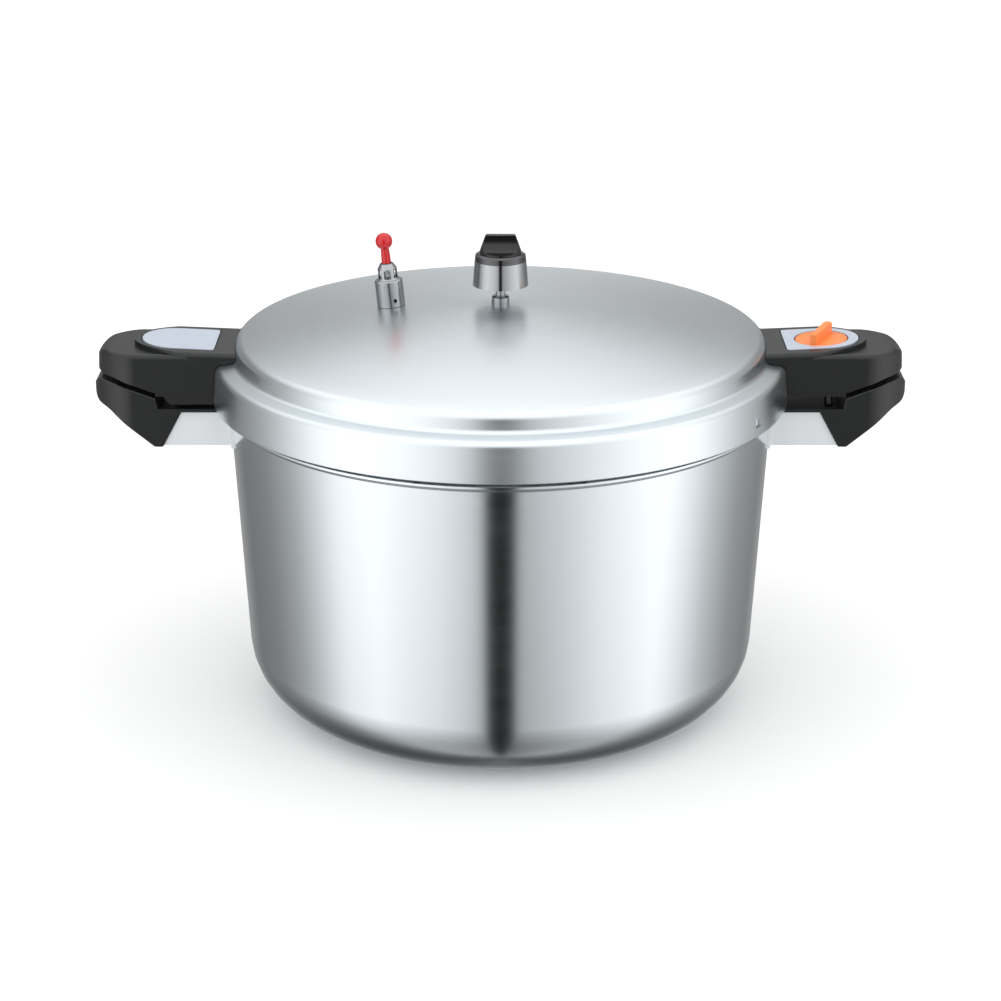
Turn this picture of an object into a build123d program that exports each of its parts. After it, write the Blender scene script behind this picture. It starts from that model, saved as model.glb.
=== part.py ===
"""Large stainless pressure canner: pot, bayonet lid, twin handles, weight, relief valve and lid lock.

Millimetres. The origin is the centre of the pot's base on the surface that it stands on, +Z is up,
+X runs through the handle with the lock dial and -Y is the front.
"""
from build123d import *
from math import asin, cos, hypot, radians, sin, sqrt, tan
import os

# Pot
POT_MOUTH_R = 150.0
POT_WALL = 1.7
POT_HEIGHT = 189.2
POT_TAPER = 9.4
BASE_CORNER_R = 39.0
BASE_THICKNESS = 5.0
BEAD_OUT = 2.9
BEAD_HEIGHT = 1.8
BEAD_DROP = 11.4

# Bayonet ring, shared by pot and lid
LUG_COUNT = 6
LUG_ANGLE = 25.0
LUG_REACH = 5.3
LUG_THICKNESS = 3.0
LUG_DROP = 1.4
LUG_GAP = 0.8
LUG_OVERLAP = 2.8

# Lid, heights measured up from the foot of its skirt
LID_LAP = 8.0
LID_WALL = 1.6
SKIRT_SIDE_GAP = 2.4
SKIRT_TAPER = 1.9
SKIRT_HEIGHT = 21.3
SKIRT_CORNER_R = 3.5
FLANGE_WIDTH = 11.1
FLANGE_RISE = 1.7
FLANGE_CORNER_R = 3.0
DOME_WALL_LEAN = 1.1
DOME_WALL_HEIGHT = 9.6
DOME_CORNER_R = 4.5
DOME_RISE = 17.8
WINDOW_WIDTH = 5.0
WINDOW_HEIGHT = 5.0
WINDOW_BEARING = -31.6
WINDOW_RISE = 7.6
GASKET_WIDTH = 10.2
GASKET_HEIGHT = 10.8
SEAL_GAP = 0.3

# Handles, all four share the width; lengths run out from the foot of the skirt
HANDLE_WIDTH = 57.0
HANDLE_DRAFT = 3.0
HANDLE_EDGE_R = 3.2
POT_HANDLE_EDGE_R = 1.2
HANDLE_FIT = 0.25
LID_HANDLE_LENGTH = 63.6
POT_HANDLE_LENGTH = 66.0
HANDLE_END_DEPTH = 21.0
HANDLE_KNEE = 30.0
GRIP_GAP = 2.8
HANDLE_TOP = 27.5
PAD_TOP = 29.6
PAD_TILT = 2.9
TONGUE_REACH = 20.0
CAVITY_PLAY = 1.3
CAVITY_WIDTH = 48.0
CAVITY_TOP = 24.6
CAVITY_INSET = 2.5
HANDLE_UNDERSIDE = 6.3
GRIP_RISE = (4.3, 7.3, 8.5)
BASE_LIP = 2.2
BASE_PLUG = 2.6
FOOT_BLOCK_DROP = 4.6
FOOT_BLOCK_LENGTH = 25.0
RECESS_FLOOR = -3.0
RECESS_LENGTH = 28.0
RECESS_SKIN = 1.8

# Brackets
BRACKET_SHEET = 1.5
BRACKET_WIDTH = 53.0
BRACKET_DEPTH = 19.6
BRACKET_REACH = 28.0
BRACKET_FIT = 0.2
LID_BRACKET_WIDTH = 34.0
LID_BRACKET_REACH = 11.0
LID_BRACKET_RISE = 10.0
SCREW_R = 1.95
SCREW_HOLE_GAP = 0.05
SCREW_HEAD_R = 3.8
SCREW_HEAD_HEIGHT = 2.0
SCREW_SPACING = 24.0
SCREW_SEAT = 7.0
WELD_NUT_HEIGHT = 4.0
POT_SCREW_OUT = 21.5
LID_SCREW_OUT = 6.0

# Label plates and lock dial
PLATE_INSET = -2.8
PLATE_LENGTH = 41.4
PLATE_WIDTH = 39.0
PLATE_THICKNESS = 1.3
PLATE_RECESS = 1.3
PLATE_GAP = 0.7
PAD_RIM = 4.6
PAD_START = -4.0
DIAL_OUT = 18.0
DIAL_R = 14.5
DIAL_DISC = 0.9
DIAL_GAP = 0.3
DIAL_HUB_R = 6.5
DIAL_RIB_WIDTH = 3.4
DIAL_RIB_TAIL = 5.2
DIAL_RIB_HEIGHT = 6.0
DIAL_RIB_BEARING = 65.0
SLEEVE_WALL = 1.0
RUN_GAP = 0.08
SLIDER_RING_WIDTH = 2.7
SLIDER_DROP = 8.2
SLIDER_THICKNESS = 2.0
PIN_OUT = 19.4
PIN_ACROSS = 20.6
PIN_R = 2.3
PIN_LENGTH = 21.8
SPRING_WIRE_R = 0.4

# Centre weight and its nozzle, heights measured up from the top of the dome
NOZZLE_R = 2.75
NOZZLE_COLLAR_R = 4.9
NOZZLE_COLLAR_HEIGHT = 4.2
NOZZLE_HEIGHT = 17.6
NOZZLE_THREAD_R = 4.0
NOZZLE_BORE_R = 1.2
NOZZLE_NUT_HEIGHT = 3.2
THREAD_LENGTH = 9.0
WASHER_WIDTH = 4.0
WASHER_THICKNESS = 1.45
SEAT_GAP = 0.15
NUT_WALL = 2.6
FILTER_R = 9.0
FILTER_HEIGHT = 7.0
FILTER_WALL = 1.1
FILTER_HOLE_R = 0.9
WEIGHT_R = 15.4
WEIGHT_RISE = 10.3
WEIGHT_HEIGHT = 13.9
WEIGHT_TAPER = 1.1
WEIGHT_RING_HEIGHT = 3.9
WEIGHT_CAP_R = 11.6
WEIGHT_CAP_TOP_R = 8.3
WEIGHT_CAP_HEIGHT = 10.3
WEIGHT_GRIP = 4.2
WEIGHT_PLAY = 0.35

# Relief valve, heights measured along its own axis from the dome
VALVE_OUT = 61.1
VALVE_BEARING = 175.1
VALVE_R = 7.75
VALVE_HEIGHT = 15.0
VALVE_CHAMBER_R = 6.2
VALVE_THREAD_R = 5.0
VALVE_NUT_HEIGHT = 4.0
VALVE_INLET_R = 2.2
VALVE_FLOOR = 3.0
VALVE_VENT_R = 1.15
VALVE_VENT_RISE = 2.6
VALVE_VENT_BEARING = -68.0
CAGE_R = 5.4
CAGE_HEIGHT = 6.2
CAGE_CONE = 2.8
CAGE_HOLE_R = 3.4
CAGE_WINDOW_WIDTH = 3.6
CAGE_BORE_R = 4.2
CAGE_WINDOWS = 6
STEM_R = 1.2
KNOB_NECK_R = 2.6
KNOB_R = 4.7
KNOB_RISE = 36.5
HOLE_PLAY = 0.2

# Worked out from the sizes above
POT_R = POT_MOUTH_R + POT_WALL
POT_BASE_R = POT_R - POT_TAPER
LUG_R = POT_R + LUG_REACH
SKIRT_R = LUG_R + SKIRT_SIDE_GAP + LID_WALL
SEAM = POT_HEIGHT - LID_LAP
FLANGE_R = SKIRT_R - SKIRT_TAPER - FLANGE_WIDTH
DOME_R = FLANGE_R - DOME_WALL_LEAN
DOME_EDGE = SKIRT_HEIGHT + FLANGE_RISE + DOME_WALL_HEIGHT
DOME_TOP = SEAM + DOME_EDGE + DOME_RISE
DOME_SPHERE_R = (DOME_R**2 + DOME_RISE**2) / (2 * DOME_RISE)
BEAD_Z = POT_HEIGHT - BEAD_DROP
BRACKET_TOP = RECESS_FLOOR - RECESS_SKIN - BRACKET_FIT
HALF_WIDTH = HANDLE_WIDTH / 2
SLEEVE_R = DIAL_HUB_R + SLEEVE_WALL
SLIDER_RING_R = SLEEVE_R + SLIDER_RING_WIDTH
PIN_AT = (PIN_OUT - DIAL_OUT, -PIN_ACROSS)
TOP_PLACE = Pos(SKIRT_R + DIAL_OUT, 0, SEAM + PAD_TOP) * Rot(0, -PAD_TILT, 0)
CAVITY_FAR = SKIRT_R + DIAL_OUT + SLIDER_RING_R + CAVITY_PLAY


def sided(shape, side):
    """The shape as built on +X, or turned half way round for the handle on -X."""
    return shape if side == "right" else Rot(0, 0, 180) * shape


def out(length, height):
    """A point of a handle's side view: length out from the skirt, height above the skirt's foot."""
    return (SKIRT_R + length, SEAM + height)


def rounded(face, corners):
    """The face with each named corner point rounded by its radius."""
    face = face.face()
    for point, radius in corners:
        target = Vector(*point)
        corner = min(face.vertices(), key=lambda v: (Vector(v.X, v.Y) - target).length)
        face = face.fillet_2d(radius, [corner])
    return face


def spun(face):
    """A section drawn as (radius, height) and turned about Z."""
    return revolve(Plane.XZ * face, Axis.Z)


def rod(radius, low, high, bore=0.0, at=(0, 0)):
    """An upright rod, or a tube when it has a bore."""
    section = Circle(radius) - Circle(bore) if bore else Circle(radius)
    return Pos(at[0], at[1], low) * extrude(section, high - low)


def block(x, y, z):
    """A box from its lowest and highest values along each axis."""
    middle = Pos((x[0] + x[1]) / 2, (y[0] + y[1]) / 2, (z[0] + z[1]) / 2)
    return middle * Box(x[1] - x[0], y[1] - y[0], z[1] - z[0])


def screws(places, seat, end):
    """Cross-head screws that point up: a head under the seat and a shank up to the end."""
    low = seat - SCREW_HEAD_HEIGHT
    group = Part()
    for place in places:
        head = rod(SCREW_HEAD_R, low, seat, at=place)
        for slot in (Box(5, 1, 1.6), Box(1, 5, 1.6)):
            head -= Pos(place[0], place[1], low) * slot
        group += head + rod(SCREW_R, seat, end, at=place)
    return group


def across(face, width):
    """A side view drawn as (x, z) and given its width, evenly about the centre plane."""
    return extrude(Plane.XZ * face, width / 2, both=True)


def moved_lines(points, gap):
    """The inner corners of a run of straight lines, each line moved outwards by the gap."""
    lines = []
    for (x1, y1), (x2, y2) in zip(points, points[1:]):
        length = hypot(x2 - x1, y2 - y1)
        lines.append((x1, y1, (x2 - x1) / length, (y2 - y1) / length))
    corners = []
    for (x1, y1, dx1, dy1), (x2, y2, dx2, dy2) in zip(lines, lines[1:]):
        ax, ay = x1 + dy1 * gap, y1 - dx1 * gap
        bx, by = x2 + dy2 * gap, y2 - dx2 * gap
        along = ((bx - ax) * dy2 - (by - ay) * dx2) / (dx1 * dy2 - dy1 * dx2)
        corners.append((ax + dx1 * along, ay + dy1 * along))
    return corners


def lid_form(gap, foot=0.0):
    """The solid under the lid's outer face, moved outwards by the gap and down to the foot."""
    slope = asin(DOME_R / DOME_SPHERE_R)
    edge = (DOME_R, SEAM + DOME_EDGE)
    run = [
        (SKIRT_R + SKIRT_TAPER, SEAM - SKIRT_HEIGHT),
        (SKIRT_R - SKIRT_TAPER, SEAM + SKIRT_HEIGHT),
        (FLANGE_R, SEAM + SKIRT_HEIGHT + FLANGE_RISE),
        edge,
        (edge[0] - 10 * cos(slope), edge[1] + 10 * sin(slope)),
    ]
    skirt, valley, brow = moved_lines(run, gap)
    low = SEAM - foot
    lean = (skirt[0] - SKIRT_R - gap) / SKIRT_HEIGHT
    start = (SKIRT_R + gap + lean * (low - SEAM), low)
    top = (0, DOME_TOP + gap)
    sphere = DOME_SPHERE_R + gap
    half = asin(brow[0] / sphere) / 2
    crown = (sphere * sin(half), top[1] - sphere * (1 - cos(half)))
    outline = Polyline(start, skirt, valley, brow) + ThreePointArc(brow, crown, top)
    outline += Polyline(top, (0, low), start)
    corners = [
        (skirt, SKIRT_CORNER_R + gap),
        (valley, FLANGE_CORNER_R - gap),
        (brow, DOME_CORNER_R + gap),
    ]
    return spun(rounded(make_face(outline), corners))


def wall_radius(height):
    """Outer radius of the pot's tapered wall at a height."""
    return POT_BASE_R + POT_TAPER * min(height / (BEAD_Z - BEAD_HEIGHT), 1)


def pot_form(gap, floor, top):
    """The solid inside the pot's wall, moved outwards by the gap, from the floor to the top."""
    corner = (wall_radius(floor) + gap, floor)
    points = [(0, floor), corner, (POT_R + gap, BEAD_Z - BEAD_HEIGHT), (POT_R + gap, top), (0, top)]
    face = make_face(Polyline(*points, close=True))
    return spun(rounded(face, [(corner, BASE_CORNER_R + gap)]))


def lugs(inner, outer, low, high):
    """Bayonet lugs as sectors of a ring, evenly spaced, with the first of them centred on +X."""
    ring = rod(outer, low, high, inner)
    keep = Part()
    for number in range(LUG_COUNT):
        bearing = number * 360 / LUG_COUNT
        corners = [(0, 0)]
        for side in (-0.5, 0.5):
            turn = radians(bearing + side * LUG_ANGLE)
            corners.append((2 * outer * cos(turn), 2 * outer * sin(turn)))
        keep += Pos(0, 0, low) * extrude(make_face(Polyline(*corners, close=True)), high - low)
    return ring & keep


def pot_body():
    """Drawn pot: clad base, tapered wall, stop bead and bayonet lugs below the rim."""
    pot = pot_form(0, 0, POT_HEIGHT) - pot_form(-POT_WALL, BASE_THICKNESS, POT_HEIGHT + 1)
    bead = make_face(Polyline(
        (POT_R - POT_WALL / 2, BEAD_Z - 2 * BEAD_HEIGHT), (POT_R + BEAD_OUT, BEAD_Z - BEAD_HEIGHT),
        (POT_R + BEAD_OUT, BEAD_Z), (POT_R - POT_WALL / 2, BEAD_Z), close=True))
    pot += spun(bead)
    top = POT_HEIGHT - LUG_DROP
    pot += lugs(POT_R - POT_WALL / 2, LUG_R, top - LUG_THICKNESS, top)
    return pot


def dome_place(distance, bearing):
    """The plane that stands on the dome, square to it, at a distance from the axis."""
    turn = radians(bearing)
    x, y = distance * cos(turn), distance * sin(turn)
    rise = sqrt(DOME_SPHERE_R**2 - distance**2)
    centre = DOME_TOP - DOME_SPHERE_R
    return Plane(origin=(x, y, centre + rise), x_dir=(1, 0, -x / rise), z_dir=(x, y, rise))


VALVE_PLACE = dome_place(VALVE_OUT, VALVE_BEARING)


def lid_shell():
    """Pressed lid: dome, wall, flange and skirt of one sheet, with the inward lugs at its foot."""
    lid = lid_form(0) - lid_form(-LID_WALL, foot=1)
    lug_top = POT_HEIGHT - LUG_DROP - LUG_THICKNESS - LUG_GAP
    inside = lugs(LUG_R - LUG_OVERLAP, SKIRT_R - LID_WALL / 2, SEAM + LUG_GAP / 2, lug_top)
    lid += inside & lid_form(-LID_WALL / 2, foot=1)
    lid -= rod(NOZZLE_THREAD_R + HOLE_PLAY, DOME_TOP - 5, DOME_TOP + 5)
    lid -= VALVE_PLACE * rod(VALVE_THREAD_R + HOLE_PLAY, -5, 5)
    rise = SEAM + WINDOW_RISE
    window = Pos(SKIRT_R, 0, rise) * Box(4 * LID_WALL, WINDOW_WIDTH, WINDOW_HEIGHT)
    return lid - Rot(0, 0, WINDOW_BEARING) * window


def lid_gasket():
    """Silicone ring in the lid, open towards the steam, that closes on the pot's rim."""
    low = POT_HEIGHT + SEAL_GAP
    high = low + GASKET_HEIGHT
    outer = SKIRT_R - SKIRT_TAPER - LID_WALL - SEAL_GAP - HOLE_PLAY
    inner = outer - GASKET_WIDTH
    lip = GASKET_HEIGHT / 3
    points = [
        (inner, low), (outer, low), (outer, high - lip / 2), (outer - lip / 2, high), (inner, high),
        (inner, high - lip), (outer - lip, high - 1.3 * lip), (outer - lip, low + lip), (inner, low + lip),
    ]
    return spun(make_face(Polyline(*points, close=True)))


def grip_plan(length, inner):
    """A handle seen from above, from its inner edge to its round outer end."""
    start, end = SKIRT_R - inner, SKIRT_R + length
    shoulder = end - HANDLE_END_DEPTH
    outline = Polyline((shoulder, HALF_WIDTH), (start, HALF_WIDTH), (start, -HALF_WIDTH),
                       (shoulder, -HALF_WIDTH))
    outline += ThreePointArc((shoulder, -HALF_WIDTH), (end, 0), (shoulder, HALF_WIDTH))
    corners = [((shoulder, side * HALF_WIDTH), HALF_WIDTH / 2) for side in (-1, 1)]
    return rounded(make_face(outline), corners)


def grip(side_view, length, inner, low, high, draft=0.0):
    """A handle's side view cut to its plan, with the sides drawn in towards the top by the draft."""
    prism = Pos(0, 0, SEAM + low) * extrude(grip_plan(length, inner), high - low, taper=draft)
    return across(side_view, 2 * HANDLE_WIDTH) & prism


def grip_line(drop):
    """Two points of the line where the two grips part, lowered by the drop."""
    return [
        out(HANDLE_KNEE + 12, HANDLE_UNDERSIDE + GRIP_RISE[0] - drop),
        out(HANDLE_KNEE + 22, HANDLE_UNDERSIDE + GRIP_RISE[1] - drop),
    ]


def lid_handle_block(inner_top, outer_top):
    """The lid handle's outside, its top running from one height at the lid to another outside."""
    points = [
        out(-TONGUE_REACH, HANDLE_UNDERSIDE), out(HANDLE_KNEE, HANDLE_UNDERSIDE),
        *grip_line(0), out(LID_HANDLE_LENGTH + 3, HANDLE_UNDERSIDE + GRIP_RISE[2]),
        out(LID_HANDLE_LENGTH - 2.5, outer_top), out(-TONGUE_REACH, inner_top),
    ]
    face = make_face(Polyline(*points, close=True))
    corners = [(points[1], 8), (points[3], 14), (points[5], 10)]
    shape = grip(rounded(face, corners), LID_HANDLE_LENGTH + 0.8, TONGUE_REACH, 0, 40, HANDLE_DRAFT)
    edges = [e for e in shape.edges() if e.center().Z > SEAM + 20 and abs(e.center().Y) > HALF_WIDTH / 2]
    return fillet(edges, HANDLE_EDGE_R)


def pad_plan():
    """The raised part of the handle's top, from the lid to its round outer end."""
    centre = SKIRT_R + PAD_START
    tip = SKIRT_R + PLATE_INSET + PLATE_LENGTH + PAD_RIM
    inner = SKIRT_R - TONGUE_REACH - 1
    half = HALF_WIDTH + 0.1
    back = Pos((inner + centre) / 2, 0) * Rectangle(centre - inner, 2 * half)
    return back + Pos(centre, 0) * Ellipse(tip - centre, half)


def plate_plan(gap=0.0):
    """A label plate about the dial's axis: square at the lid end and round at the outer end."""
    start = PLATE_INSET - DIAL_OUT - gap
    end = start + PLATE_LENGTH + 2 * gap
    half = PLATE_WIDTH / 2 + gap
    outline = Polyline((end - half, half), (start, half), (start, -half), (end - half, -half))
    outline += ThreePointArc((end - half, -half), (end, 0), (end - half, half))
    corners = [((start, side * half), 2 + gap) for side in (-1, 1)]
    return rounded(make_face(outline), corners)


def screw_places():
    """The lid handle's two screws, between the skirt and the dial's sleeve."""
    return [(SKIRT_R + LID_SCREW_OUT, side * SCREW_SPACING / 2) for side in (-1, 1)]


def lid_handle(side):
    """Hollow moulded handle on the lid, with a tongue over the flange and a seat for its plate."""
    shape = lid_handle_block(HANDLE_TOP - 0.4, HANDLE_TOP + 0.3)
    slope = tan(radians(PAD_TILT))
    inner_top = PAD_TOP - slope * (DIAL_OUT + TONGUE_REACH)
    outer_top = PAD_TOP + slope * (LID_HANDLE_LENGTH - 14 - DIAL_OUT)
    pad = Pos(0, 0, SEAM) * extrude(pad_plan(), 2 * PAD_TOP)
    shape += lid_handle_block(inner_top, outer_top) & pad
    shape -= lid_form(HANDLE_FIT, foot=2)
    shape -= TOP_PLACE * Pos(0, 0, -PLATE_RECESS) * extrude(plate_plan(PLATE_GAP), PAD_TOP)
    start = SKIRT_R + CAVITY_INSET
    cavity = block((start, CAVITY_FAR), (-CAVITY_WIDTH / 2, CAVITY_WIDTH / 2), (SEAM, SEAM + CAVITY_TOP))
    bracket_top = LID_BRACKET_RISE + BRACKET_SHEET + BRACKET_FIT
    for place in screw_places():
        cavity -= rod(2 * SCREW_R, SEAM + bracket_top, SEAM + CAVITY_TOP, at=place)
    shape -= cavity
    half = LID_BRACKET_WIDTH / 2 + BRACKET_FIT
    slot = block((SKIRT_R - 2 * SKIRT_TAPER, start + 1), (-half, half), (SEAM, SEAM + bracket_top + 4))
    shape -= slot & lid_form(BRACKET_SHEET + BRACKET_FIT)
    shape -= block((SKIRT_R - 1, start + 1), (-half, half), (SEAM, SEAM + bracket_top))
    for place in screw_places():
        shape -= rod(SCREW_R + SCREW_HOLE_GAP, SEAM, SEAM + CAVITY_TOP - 2, at=place)
    if side == "right":
        shape -= TOP_PLACE * rod(DIAL_HUB_R + RUN_GAP, CAVITY_TOP - PAD_TOP - 2, 2)
    return sided(shape, side)


def lid_handle_base(side):
    """Cover under the lid handle: a lip, a plug in its mouth, and the foot block or the pin's hole."""
    low = HANDLE_UNDERSIDE - BASE_LIP
    start = SKIRT_R + CAVITY_INSET
    half = HALF_WIDTH - 0.8
    shape = block((SKIRT_R - 5, CAVITY_FAR), (-half, half), (SEAM + low, SEAM + HANDLE_UNDERSIDE))
    if side == "left":
        foot = low - FOOT_BLOCK_DROP
        end = FOOT_BLOCK_LENGTH
        view = Polyline(out(-5, low), out(-5, foot), out(end - 3.3, foot), out(end, low), close=True)
        shape += across(make_face(view), 2 * half)
    shape -= lid_form(HANDLE_FIT, foot=5)
    inside = CAVITY_WIDTH / 2 - BRACKET_FIT
    shape += block((start + BRACKET_FIT, CAVITY_FAR - BRACKET_FIT), (-inside, inside),
                   (SEAM + HANDLE_UNDERSIDE, SEAM + HANDLE_UNDERSIDE + BASE_PLUG))
    for place in screw_places():
        shape -= rod(SCREW_R + HOLE_PLAY, SEAM - 9, SEAM + 20, at=place)
        shape -= rod(SCREW_HEAD_R + HOLE_PLAY, SEAM - 9, SEAM + HANDLE_UNDERSIDE, at=place)
    if side == "right":
        shape -= TOP_PLACE * rod(PIN_R + RUN_GAP, -40, -15, at=PIN_AT)
    return sided(shape, side)


def lid_bracket(side):
    """Steel bracket welded to the skirt, with two tabs that carry the handle."""
    half = LID_BRACKET_WIDTH / 2
    saddle = lid_form(BRACKET_SHEET) - lid_form(0, foot=1)
    rise = LID_BRACKET_RISE
    foot = HANDLE_UNDERSIDE + BRACKET_FIT
    saddle &= block((SKIRT_R / 2, 2 * SKIRT_R), (-half, half), (SEAM + foot, SEAM + rise + 5))
    tabs = block((SKIRT_R - 5, SKIRT_R + LID_BRACKET_REACH), (-half, half),
                 (SEAM + rise, SEAM + rise + BRACKET_SHEET))
    notch = (SKIRT_R + CAVITY_INSET, 2 * SKIRT_R)
    quarter = half * 0.44
    tabs -= block(notch, (-quarter, quarter), (SEAM, SEAM + 40))
    shape = saddle + (tabs - lid_form(0, foot=1))
    for place in screw_places():
        shape -= rod(SCREW_R + HOLE_PLAY, SEAM, SEAM + 20, at=place)
    return sided(shape, side)


def lid_handle_screws(side):
    """Two screws up through the base and the bracket into the handle's bosses."""
    return sided(screws(screw_places(), SEAM + HANDLE_UNDERSIDE, SEAM + CAVITY_TOP - 4), side)


def label_plate(side):
    """Label plate let into the top of a lid handle; the right one has the dial's hole."""
    shape = extrude(plate_plan(), PLATE_THICKNESS)
    if side == "right":
        shape -= rod(DIAL_R + PLATE_GAP, -1, PLATE_THICKNESS + 1)
    return sided(TOP_PLACE * Pos(0, 0, -PLATE_RECESS) * shape, side)


def pot_bracket_slot(gap):
    """The space that a pot bracket's channel takes, widened by the gap on every side."""
    half = BRACKET_WIDTH / 2
    inner = half - BRACKET_SHEET
    x = (POT_MOUTH_R / 2, SKIRT_R + BRACKET_REACH + gap)
    low, top = SEAM + BRACKET_TOP - BRACKET_DEPTH - gap, SEAM + BRACKET_TOP + gap
    channel = block(x, (-half - gap, half + gap), (low, top))
    web = top - BRACKET_SHEET - 2 * gap
    return channel - block((x[0] - 1, x[1] + 1), (-inner + gap, inner - gap), (low - 1, web))


def pot_screw_places():
    """The two screws that hold a pot handle under its bracket."""
    return [(SKIRT_R + POT_SCREW_OUT, side * SCREW_SPACING / 2) for side in (-1, 1)]


def handle_bracket(side):
    """Bent steel channel welded to the pot through a saddle, with weld nuts under its web."""
    knee = SEAM + BRACKET_TOP - BRACKET_DEPTH
    shape = pot_bracket_slot(0)
    shape -= block((SKIRT_R + BRACKET_REACH - 2, 2 * SKIRT_R), (-BRACKET_WIDTH, BRACKET_WIDTH),
                   (SEAM + BRACKET_TOP - BRACKET_SHEET, SEAM))
    half = BRACKET_WIDTH / 2 + 3
    saddle = pot_form(BRACKET_SHEET, 0, POT_HEIGHT) - pot_form(0, -1, POT_HEIGHT + 1)
    shape += saddle & block((0, 2 * SKIRT_R), (-half, half), (knee - 1, BEAD_Z - 2.2 * BEAD_HEIGHT))
    shape -= pot_form(0, -1, POT_HEIGHT)
    shape -= rod(POT_R + BEAD_OUT + 0.2, BEAD_Z - 2.2 * BEAD_HEIGHT, POT_HEIGHT)
    web = SEAM + BRACKET_TOP - BRACKET_SHEET
    for place in pot_screw_places():
        shape += rod(2 * SCREW_R, web - WELD_NUT_HEIGHT, web, at=place)
        shape -= rod(SCREW_R + SCREW_HOLE_GAP, web - WELD_NUT_HEIGHT - 1, SEAM, at=place)
    if side == "right":
        shape -= TOP_PLACE * rod(PIN_R + 2 * HOLE_PLAY, -60, -25, at=PIN_AT)
    return sided(shape, side)


def pot_handle(side):
    """Moulded pot handle: grip, recess for the lid handle's foot, and a slot for the bracket."""
    tip = BRACKET_TOP - BRACKET_DEPTH - 0.6
    skin = RECESS_FLOOR - RECESS_SKIN
    points = [
        out(-4.5, skin), out(15.3, skin), out(26.4, tip), out(31.0, tip), out(56.0, -4.6),
        out(POT_HANDLE_LENGTH - 0.2, -2.2), out(POT_HANDLE_LENGTH - 0.6, 7.0),
        out(POT_HANDLE_LENGTH - 4.5, HANDLE_UNDERSIDE + GRIP_RISE[2] - 0.6 - GRIP_GAP),
        *reversed(grip_line(GRIP_GAP)), out(HANDLE_KNEE - 0.6, HANDLE_UNDERSIDE - GRIP_GAP - 0.4),
        out(RECESS_LENGTH, RECESS_FLOOR), out(-4.5, RECESS_FLOOR),
    ]
    face = make_face(Polyline(*points, close=True))
    corners = [(points[2], 1.2), (points[3], 2.2), (points[4], 14), (points[5], 6), (points[6], 5),
               (points[7], 3), (points[8], 14), (points[10], 1.5)]
    shape = grip(rounded(face, corners), POT_HANDLE_LENGTH, 5, -45, 25)
    edges = [e for e in shape.edges() if abs(e.center().Y) > HALF_WIDTH / 3 and e.center().X > SKIRT_R + 30]
    shape = fillet(edges, POT_HANDLE_EDGE_R)
    shape -= rod(POT_R + BEAD_OUT + 1, SEAM - 60, SEAM + 20)
    shape -= pot_bracket_slot(BRACKET_FIT)
    web = SEAM + BRACKET_TOP - BRACKET_SHEET
    for place in pot_screw_places():
        shape -= rod(2 * SCREW_R + BRACKET_FIT, web - WELD_NUT_HEIGHT - 2 * BRACKET_FIT, web, at=place)
        shape -= rod(SCREW_R + HOLE_PLAY, SEAM - 40, web, at=place)
        shape -= rod(SCREW_HEAD_R + HOLE_PLAY, SEAM - 40, web - SCREW_SEAT, at=place)
    if side == "right":
        shape -= TOP_PLACE * rod(PIN_R + 2 * HOLE_PLAY, -45, -25, at=PIN_AT)
    return sided(shape, side)


def pot_handle_screws(side):
    """Two screws up through the pot handle into the bracket's weld nuts."""
    web = SEAM + BRACKET_TOP - BRACKET_SHEET
    return sided(screws(pot_screw_places(), web - SCREW_SEAT, web + 0.5), side)


def coil(radius, wire, low, high, turns):
    """A compression spring standing on z = low."""
    path = Pos(0, 0, low + wire) * Helix((high - low - 2 * wire) / turns, high - low - 2 * wire, radius)
    return sweep(Plane(path @ 0, z_dir=path % 0) * Circle(wire), path=path)


def sleeve_foot():
    """Height of the sleeve's lower end, above the base cover and below the pad's top."""
    return HANDLE_UNDERSIDE + BASE_PLUG + 2.2 - PAD_TOP


def lock_dial():
    """Turned knob of the lid lock: disc, wedge-shaped grip rib and a hub down through the handle."""
    seat = DIAL_GAP - PLATE_RECESS
    disc_top = seat + DIAL_DISC
    shape = chamfer(rod(DIAL_R, seat, disc_top).edges().group_by(Axis.Z)[-1], 0.3)
    reach = sqrt(DIAL_R**2 - DIAL_RIB_TAIL**2 / 4) - 0.5
    nose, tail = DIAL_RIB_WIDTH / 2, DIAL_RIB_TAIL / 2
    plan = make_face(Polyline((-reach, -nose), (reach, -tail), (reach, tail), (-reach, nose), close=True))
    plan = rounded(plan, [((reach, side * tail), 0.45 * DIAL_RIB_TAIL) for side in (-1, 1)])
    rib = Pos(0, 0, seat + 0.5) * extrude(plan, disc_top + DIAL_RIB_HEIGHT - seat - 0.5)
    rib = chamfer(rib.edges().group_by(Axis.Z)[-1], 0.35)
    shape += Rot(0, 0, DIAL_RIB_BEARING) * rib
    shape += rod(DIAL_HUB_R, CAVITY_TOP - PAD_TOP - 4, seat)
    return TOP_PLACE * (shape - rod(SCREW_R + SCREW_HOLE_GAP, -PAD_TOP, seat))


def dial_sleeve():
    """Sleeve on the dial's hub whose steep thread drives the slider."""
    top = CAVITY_TOP - PAD_TOP - 1.2
    shape = rod(SLEEVE_R, sleeve_foot(), top, DIAL_HUB_R + SCREW_HOLE_GAP)
    shape += rod(SLEEVE_R, sleeve_foot(), CAVITY_TOP - PAD_TOP - 4.1, SCREW_R + HOLE_PLAY)
    return TOP_PLACE * shape


def dial_screw():
    """Screw from below that holds the sleeve on the hub."""
    low = sleeve_foot() - 1.6
    head = rod(SCREW_HEAD_R, low, sleeve_foot()) - Pos(0, 0, low) * Box(5, 1, 1.4)
    return TOP_PLACE * (head + rod(SCREW_R, sleeve_foot(), CAVITY_TOP - PAD_TOP))


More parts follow.
